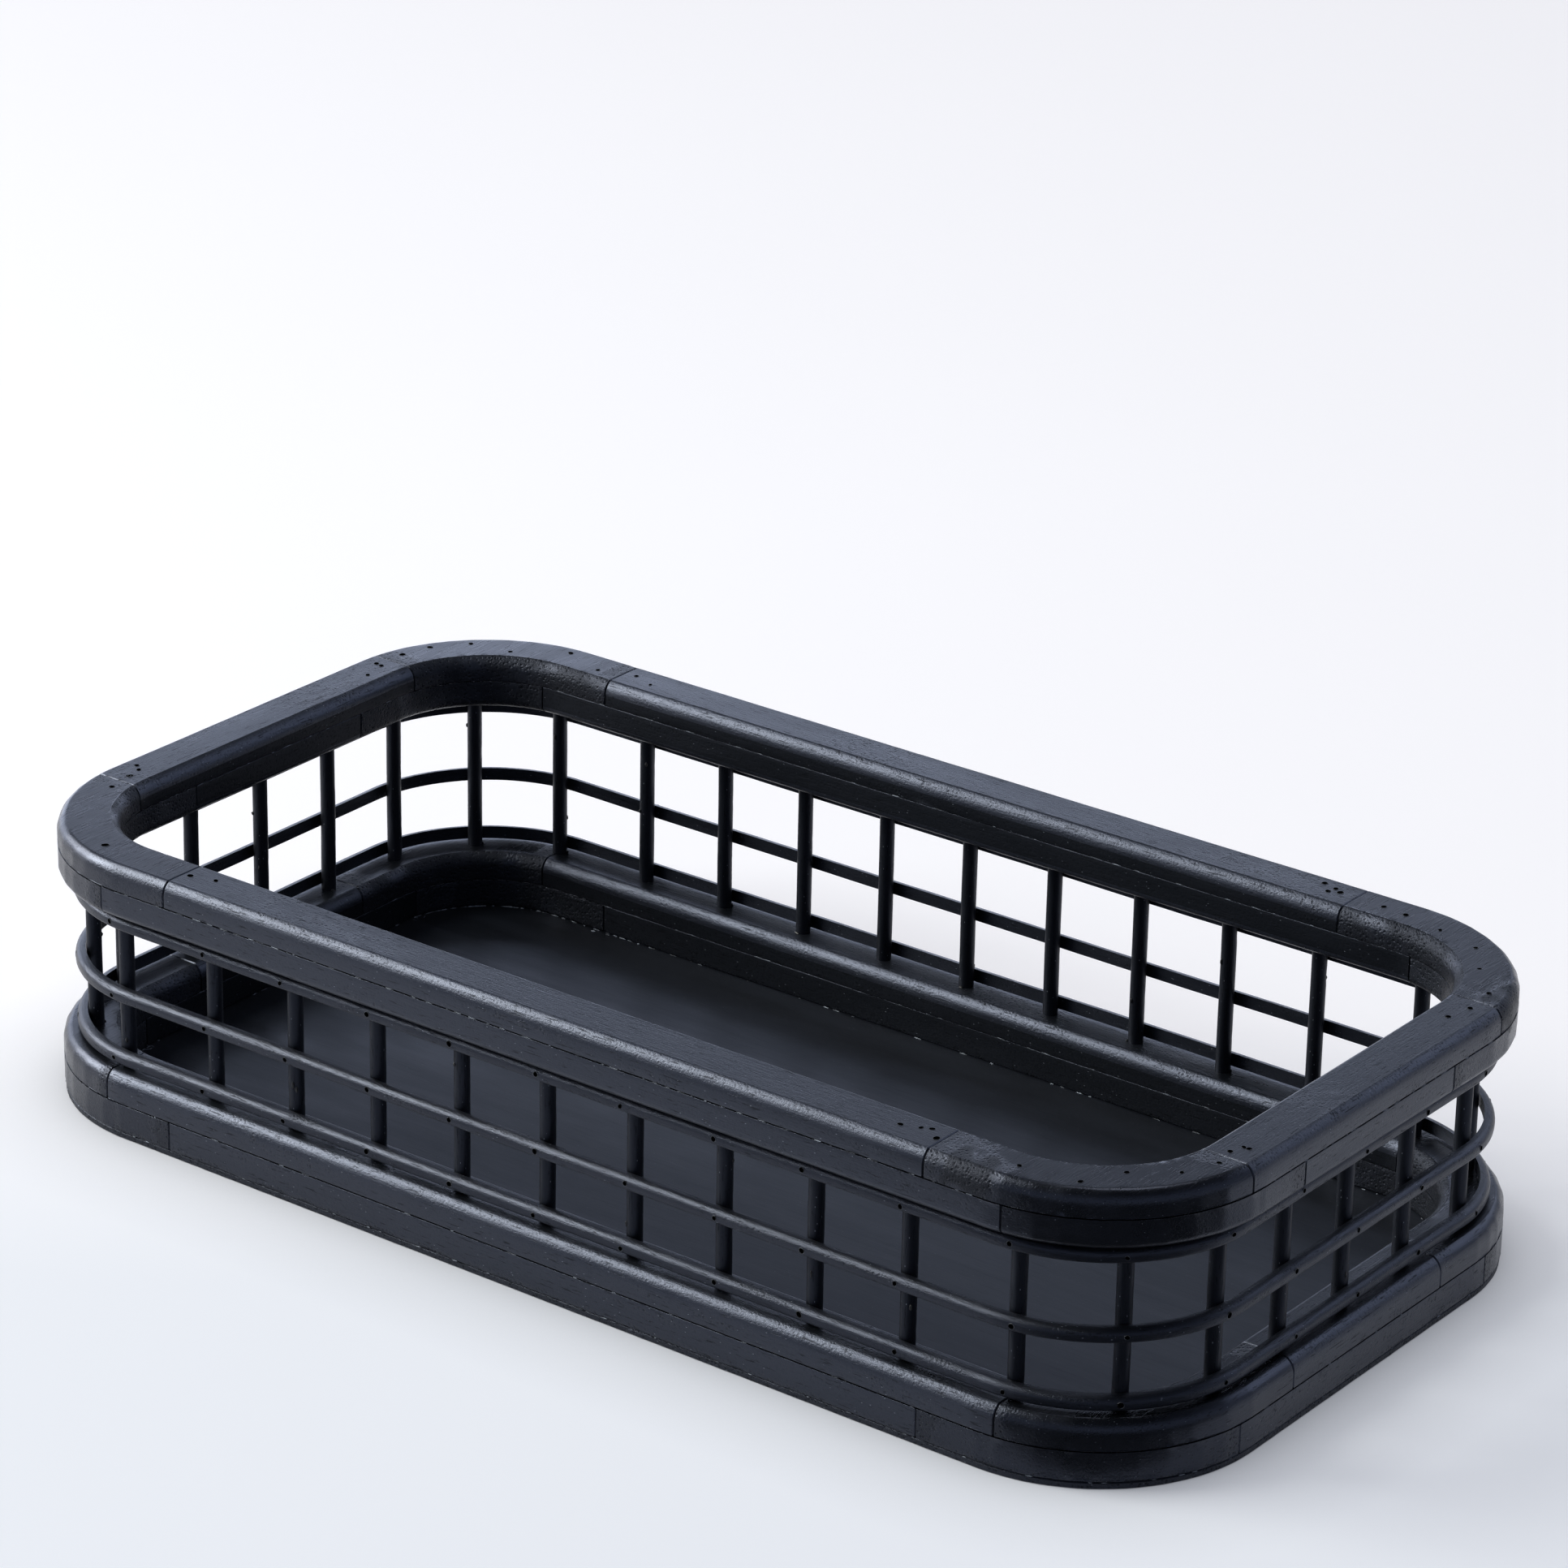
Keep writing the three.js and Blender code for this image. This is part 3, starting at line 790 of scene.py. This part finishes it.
dowel_courses = [course_of(*(sum(box_mm(solid), Vector()) / 2).xy) for solid in DOWELS]
for band in BANDS:
    low, high = box_mm(band)
    spots = []
    for dowel_course in dowel_courses:
        course = dowel_course + chance.uniform(-BAND_BRAD_STRAY, BAND_BRAD_STRAY)
        plan, out = course_place(course, BAND_OUTER + BAND_BRAD_SINK)
        height = low.z + BAND_BRAD_HEIGHT * (high.z - low.z) + band_rise(band, course)
        place = Vector((plan.x, plan.y, height + chance.uniform(*BAND_BRAD_RISE)))
        shape = brad_shape(BAND_BRAD_RADIUS, BAND_BRAD_STRETCH)
        spots.append((place, Vector((out.x, out.y, 0)), *shape))
    brad_holes(band + "_brads", spots, "stained_strip")

# Brads in the top rim, round each corner and at the rail ends beside it: some in the top face, and some in
# the rounding
BLOCK_BRADS = (0.10, 0.27, 0.46, 0.63, 0.80, 0.92)
RAIL_BRADS = (5.0, 8.5, 13.0, 19.0)
ROUNDING_BRADS = (8.0, 17.5)
MISSING_BRADS = 0.12
TOP_BRAD_INSETS = (8.5, 18.0)
TOP_BRAD_STRAY = 3.0
TOP_BRAD_SINK = 0.16
TOP_BRAD_RADIUS = (1.2, 1.6)
TOP_BRAD_STRETCH = (0.7, 1.3)
ROUNDING_BRAD_TILT = (40, 60)
ROUNDING_BRAD_SINK = 0.1
ROUNDING_BRAD_RADIUS = (0.9, 1.2)
ROUNDING_BRAD_STRETCH = (0.8, 1.2)
spots = []
for corner, (before, after) in CORNERS.items():
    start = end_cut("top", "upper", before, 1, 0)(0)
    end = end_cut("top", "upper", after, -1, 0, lap_before(after))(0)
    courses = [start + (end - start) * share for share in BLOCK_BRADS]
    courses += [start - back for back in RAIL_BRADS] + [end + on for on in RAIL_BRADS]
    for course in courses:
        if chance.random() < MISSING_BRADS:
            continue
        inset = chance.uniform(*TOP_BRAD_INSETS)
        plan = course_place(course + chance.uniform(-TOP_BRAD_STRAY, TOP_BRAD_STRAY), inset)[0]
        place = Vector((plan.x, plan.y, TOP_RAIL_HIGH.z - TOP_BRAD_SINK))
        spots.append((place, Z_WAY, *brad_shape(TOP_BRAD_RADIUS, TOP_BRAD_STRETCH)))
    for course in [start - back for back in ROUNDING_BRADS] + [end + on for on in ROUNDING_BRADS]:
        tilt = math.radians(chance.uniform(*ROUNDING_BRAD_TILT))
        plan, out = course_place(course, RIM_EDGE_ROUND * (1 - math.cos(tilt)) + ROUNDING_BRAD_SINK)
        height = TOP_RAIL_HIGH.z - RIM_EDGE_ROUND * (1 - math.sin(tilt)) - ROUNDING_BRAD_SINK
        facing = Vector((out.x * math.cos(tilt), out.y * math.cos(tilt), math.sin(tilt)))
        shape = brad_shape(ROUNDING_BRAD_RADIUS, ROUNDING_BRAD_STRETCH)
        spots.append((Vector((plan.x, plan.y, height)), facing, *shape))
brad_holes("top_rim_brads", spots, "stained_rim")

# Glue squeezed out of the joints: thin dashes in the seams, crumbs along the panel
FLECK_RINGS = ((0.0, 0.35), (0.25, 0.9), (0.6, 1.0), (0.85, 0.7), (1.0, 0.2))
FLECK_SIDES = 6
FLECK_SWELL = (0.7, 1.2)
DASH_SHORTEST = 0.8
DASH_SLOPE = 0.03
DASH_SWELL = (0.5, 1.0)
DASH_GAP_SWELL = (0.1, 2.0)


def fleck(points, faces, place, along, length, thick):
    side = along.cross(Z_WAY if abs(along.z) < 0.9 else X_WAY).normalized()
    over = along.cross(side)
    first = len(points)
    for share, swell in FLECK_RINGS:
        for j in range(FLECK_SIDES):
            turn = 2 * math.pi * j / FLECK_SIDES
            uneven = thick * swell * chance.uniform(*FLECK_SWELL) / 2
            spread = (side * math.cos(turn) + over * math.sin(turn)) * uneven
            points.append(place + along * (share - 0.5) * length + spread)
    faces += ring_faces(len(FLECK_RINGS), FLECK_SIDES, first)
    faces.append(tuple(reversed(range(first, first + FLECK_SIDES))))
    faces.append(tuple(range(len(points) - FLECK_SIDES, len(points))))


# Dashes along the course at one inset and height, with gaps between them
def dash_row(points, faces, start, end, inset, height, gap, longest, thick):
    course = start + chance.uniform(0, gap)
    while course < end:
        plan, out = course_place(course, inset)
        length = chance.uniform(DASH_SHORTEST, longest)
        along = Vector((-out.y, out.x, chance.uniform(-DASH_SLOPE, DASH_SLOPE))).normalized()
        place = Vector((plan.x, plan.y, height))
        fleck(points, faces, place, along, length, chance.uniform(*DASH_SWELL) * thick)
        course += length + chance.uniform(*DASH_GAP_SWELL) * gap


SEAM_DASH_GAP = {"bottom": 26.0, "top": 7.0}
INNER_DASH_GAP = 14.0
DASH_INSET = 0.22
DASH_THICK = 0.34
points, faces = [], []
for rim, (foot, seam, head) in LEVELS.items():
    for side in SIDE_MIDDLE:
        start, end = SIDE_MIDDLE[side] - SIDE_HALF[side], SIDE_MIDDLE[side] + SIDE_HALF[side]
        outer_gap, inner = SEAM_DASH_GAP[rim], RIM_WIDTH - DASH_INSET
        dash_row(points, faces, start, end, DASH_INSET, seam, outer_gap, longest=5.0, thick=DASH_THICK)
        dash_row(points, faces, start, end, inner, seam, INNER_DASH_GAP, longest=6.0, thick=DASH_THICK)
finish_piece(make_piece("seam_glue_dashes", points, faces), [GLUE], "stained_rim")

# Along the panel the crumbs lie all round, thicker at the back left. A few are caught outside, and a few lie
# by each joint.
CRUMB_INSET = RIM_WIDTH + 0.1
CRUMB_HEIGHT = PANEL_HIGH.z + 0.1
OUTER_CRUMB_INSET = 0.26
OUTER_CRUMB_HEIGHT = PANEL_HIGH.z + 0.15
THICK_ROW_START = SIDE_MIDDLE["back"] + ARC_X - 50
THICK_ROW_END = THICK_ROW_START + 160
JOINT_CRUMBS = (1, 6)
JOINT_CRUMB_STRAY = 5.0
JOINT_CRUMB_REACH = (0.4, 2.5)
JOINT_CRUMB_LENGTH = (1.5, 6.0)
JOINT_CRUMB_THICKNESS = (0.3, 0.7)
points, faces = [], []
dash_row(points, faces, 0.0, ROUND_COURSE, CRUMB_INSET, CRUMB_HEIGHT, gap=16.0, longest=4.0, thick=0.7)
dash_row(points, faces, THICK_ROW_START, THICK_ROW_END, CRUMB_INSET, CRUMB_HEIGHT,
         gap=3.0, longest=4.0, thick=0.8)
dash_row(points, faces, 0.0, ROUND_COURSE, OUTER_CRUMB_INSET, OUTER_CRUMB_HEIGHT,
         gap=14.0, longest=3.0, thick=0.35)
for corner, (before, after) in CORNERS.items():
    for side, sign in ((before, 1), (after, -1)):
        course = end_cut("bottom", "lower", side, sign, 0)(RIM_WIDTH)
        for crumb in range(chance.randint(*JOINT_CRUMBS)):
            stray = chance.uniform(-JOINT_CRUMB_STRAY, JOINT_CRUMB_STRAY)
            plan = course_place(course + stray, RIM_WIDTH + chance.uniform(*JOINT_CRUMB_REACH))[0]
            along = Vector((chance.uniform(-1, 1), chance.uniform(-1, 1), 0.1)).normalized()
            place = Vector((plan.x, plan.y, CRUMB_HEIGHT))
            length = chance.uniform(*JOINT_CRUMB_LENGTH)
            fleck(points, faces, place, along, length, chance.uniform(*JOINT_CRUMB_THICKNESS))
finish_piece(make_piece("panel_glue_crumbs", points, faces), [GLUE], "stained_panel")

# Lumps of glue under the stain, on the dowels and where they enter the rims
STAINED_GLUE = mottled("wood_glue_stained_over", "#07080a", "#181a20",
                       size=1.5, smooth=0.3, rough=0.6, depth=0.2, gloss=0.4)
LUMP_FOOT = BOTTOM_RAIL_HIGH.z + 0.1
LUMP_HEAD = TOP_RAIL_LOW.z - 0.1
LUMP_STAND_OFF = 0.2
LUMP_CLEAR = 8.0
LUMPS_ON_ROD = (0, 2)
LUMP_LENGTH = (1.4, 3.2)
LUMP_THICKNESS = (0.9, 1.6)
points, faces = [], []
for solid in DOWELS:
    low, high = box_mm(solid)
    middle, radius = (low + high) / 2, (high.x - low.x) / 2
    lumps = [(end, LUMP_STAND_OFF) for end in (LUMP_FOOT, LUMP_HEAD, LUMP_HEAD)]
    for lump in range(chance.randint(*LUMPS_ON_ROD)):
        lumps.append((chance.uniform(BOTTOM_RAIL_HIGH.z + LUMP_CLEAR, TOP_RAIL_LOW.z - LUMP_CLEAR), 0.0))
    for height, stand_off in lumps:
        turn = chance.uniform(0, 2 * math.pi)
        out = Vector((math.cos(turn), math.sin(turn), 0))
        along = out.cross(Z_WAY) if stand_off else Z_WAY
        place = Vector((middle.x, middle.y, height)) + out * (radius + stand_off)
        fleck(points, faces, place, along, chance.uniform(*LUMP_LENGTH), chance.uniform(*LUMP_THICKNESS))
finish_piece(make_piece("dowel_glue_lumps", points, faces), [STAINED_GLUE], "stained_dowel")

# Stage: a pale paper sweep with painted light: it glows by itself, more behind the tray, and close round the
# tray occlusion cuts the glow as a painted contact shadow.
TO_BACK = Vector((-0.6, 0.8, 0.0))
TO_RIGHT = Vector((0.8, 0.6, 0.0))
SWEEP_REACH = 9.0
square = ((-1, -1), (1, -1), (1, 1), (-1, 1))
floor_points = [Vector((x, y, 0)) * SWEEP_REACH / MM for x, y in square]
floor = make_piece("pale_floor", floor_points, [range(len(floor_points))])
sweep, sweep_tree, sweep_shader = new_material("paper_sweep_pale_painted_glow")
place = node(sweep_tree, PLACE, "Object")
cloud = node(sweep_tree, CLOUDS, Vector=place, Scale=1.5, Detail=2.0)
paper = node(sweep_tree, RAMP, Fac=cloud, stops=((0.2, linear("#a0a2ab")), (0.8, linear("#a4a6af"))))
behind = node(sweep_tree, VECTOR, "Value", operation="DOT_PRODUCT", i0=place, i1=TO_BACK)
behind = node(sweep_tree, MATHS, operation="ADD", i0=behind, i1=0.5)
glow = node(sweep_tree, RAMP, Fac=behind, stops=((0.38, linear("#c0c3ca")), (0.65, linear("#d8d7db"))))
painted_contact_shade = node(sweep_tree, "ShaderNodeAmbientOcclusion", "AO", Distance=0.06)
sweep_tree.links.new(paper, sweep_shader["Base Color"])
sweep_tree.links.new(glow, sweep_shader["Emission Color"])
sweep_tree.links.new(painted_contact_shade, sweep_shader["Emission Strength"])
sweep_shader["Roughness"].default_value = 0.8
sweep_shader["Specular IOR Level"].default_value = 0.0
floor.data.materials.append(sweep)

# A dark grey sheet lies before the tray, unseen by the camera and casting no shadow; seen only in the
# finish, it paints a dark reflection into the near corner
SHEET_NEAR, SHEET_FAR, SHEET_SIDE = -0.355, -1.6, 1.1
TONGUE_NEAR, TONGUE_LEFT, TONGUE_RIGHT = -0.285, 0.02, 0.40
reflection_sheet_corners = (
    (SHEET_FAR, -SHEET_SIDE),
    (SHEET_FAR, SHEET_SIDE),
    (SHEET_NEAR, SHEET_SIDE),
    (SHEET_NEAR, TONGUE_RIGHT),
    (TONGUE_NEAR, TONGUE_RIGHT),
    (TONGUE_NEAR, TONGUE_LEFT),
    (SHEET_NEAR, TONGUE_LEFT),
    (SHEET_NEAR, -SHEET_SIDE),
)
reflection_sheet_points = [(TO_BACK * away + TO_RIGHT * side) / MM + Z_WAY for away, side in reflection_sheet_corners]
reflection_sheet = make_piece("dark_reflection_only_sheet", reflection_sheet_points, [range(len(reflection_sheet_points))])
reflection_sheet.data.materials.append(mottled("dark_reflection_only_sheet_matt", "#4a4b50", "#525358",
                                    size=3.0, smooth=0.9, rough=1.0, depth=0.3, gloss=0.0))
reflection_sheet.visible_camera = False
reflection_sheet.visible_diffuse = False
reflection_sheet.visible_shadow = False


def soft_light(name, place, aim, width, height, watts, colour="#ffffff", lights_floor=False):
    lamp = bpy.data.lights.new(name, "AREA")
    lamp.shape = "RECTANGLE"
    lamp.size, lamp.size_y = width, height
    lamp.energy = watts
    lamp.color = linear(colour)[:3]
    holder = bpy.data.objects.new(name, lamp)
    holder.location = place
    holder.rotation_mode = "QUATERNION"
    holder.rotation_quaternion = (Vector(place) - Vector(aim)).to_track_quat("Z", "Y")
    holder.visible_camera = False
    holder.visible_diffuse = lights_floor
    bpy.context.scene.collection.objects.link(holder)


# A large soft box at the front left is the only light that falls on the floor. The others are dimmer,
# and only the glossy finish mirrors them: a glow round the soft box, a second box at the left, a low card
# behind, one overhead for the near corner, one at the back right and one above at the left.
BLUE_WHITE = "#dbe6ff"
WARM_WHITE = "#fffff1"
GROUND = (0, 0, 0)
TRAY_MIDDLE = (0, 0, 0.1)
NEAR_CORNER = (0.27, -0.13, 0.12)
KEY_WAY = Vector((-0.685, -0.42, 0.61))
LOW_LEFT = Z_WAY * 0.208 - TO_RIGHT * 0.40
CARD_PLACE = TO_BACK * 0.8 + LOW_LEFT
soft_light("key_softbox", KEY_WAY * 3.6, GROUND, width=1.6, height=2.2, watts=146, colour=WARM_WHITE,
           lights_floor=True)
soft_light("key_surround", KEY_WAY * 3.7, GROUND, width=3.2, height=3.4, watts=45)
soft_light("left_softbox", (-2.63, -0.70, 1.27), TRAY_MIDDLE, width=1.6, height=1.2, watts=51)
soft_light("backdrop_card", CARD_PLACE, LOW_LEFT, width=1.7, height=0.357, watts=3.45, colour=BLUE_WHITE)
soft_light("overhead_card", (0.22, 0.25, 1.46), NEAR_CORNER, width=0.55, height=0.55, watts=2.9)
soft_light("right_card", (0.59, 1.32, 0.85), TRAY_MIDDLE, width=1.5, height=0.75, watts=4.6,
           colour=BLUE_WHITE)
soft_light("left_card", (-1.2, 0.1, 1.6), TRAY_MIDDLE, width=1.2, height=0.8, watts=3.0,
           colour=BLUE_WHITE)

# A dim room
world = bpy.data.worlds.new("dim_studio")
world.use_nodes = True
room = world.node_tree
upward = node(room, "ShaderNodeSeparateXYZ", "Z", Vector=node(room, PLACE, "Generated"))
room_shade = node(room, RAMP, Fac=upward, stops=((0.40, linear("#9aa2b3")), (0.70, linear("#3c3e44"))))
room.links.new(room_shade, room.nodes["Background"].inputs["Color"])
bpy.context.scene.world = world

# Camera at the photograph's place: a long lens, a little rolled
CAMERA_PLACE = Vector((1.3399, -1.7687, 1.1086))
CAMERA_AIM = Vector((-0.1520, 0.2102, 0.0630))
CAMERA_ROLL = math.radians(1.075)
CAMERA_LENS = 134.05
camera_data = bpy.data.cameras.new("photo_camera")
camera_data.sensor_width = 36.0
camera_data.lens = CAMERA_LENS
camera_data.clip_end = 50.0
camera = bpy.data.objects.new("photo_camera", camera_data)
camera.location = CAMERA_PLACE
camera.rotation_mode = "QUATERNION"
level = (CAMERA_AIM - CAMERA_PLACE).to_track_quat("-Z", "Y")
camera.rotation_quaternion = level @ Matrix.Rotation(CAMERA_ROLL, 3, "Z").to_quaternion()
bpy.context.scene.collection.objects.link(camera)
bpy.context.scene.camera = camera
bpy.context.scene.view_settings.view_transform = "Standard"

bpy.context.view_layer.update()
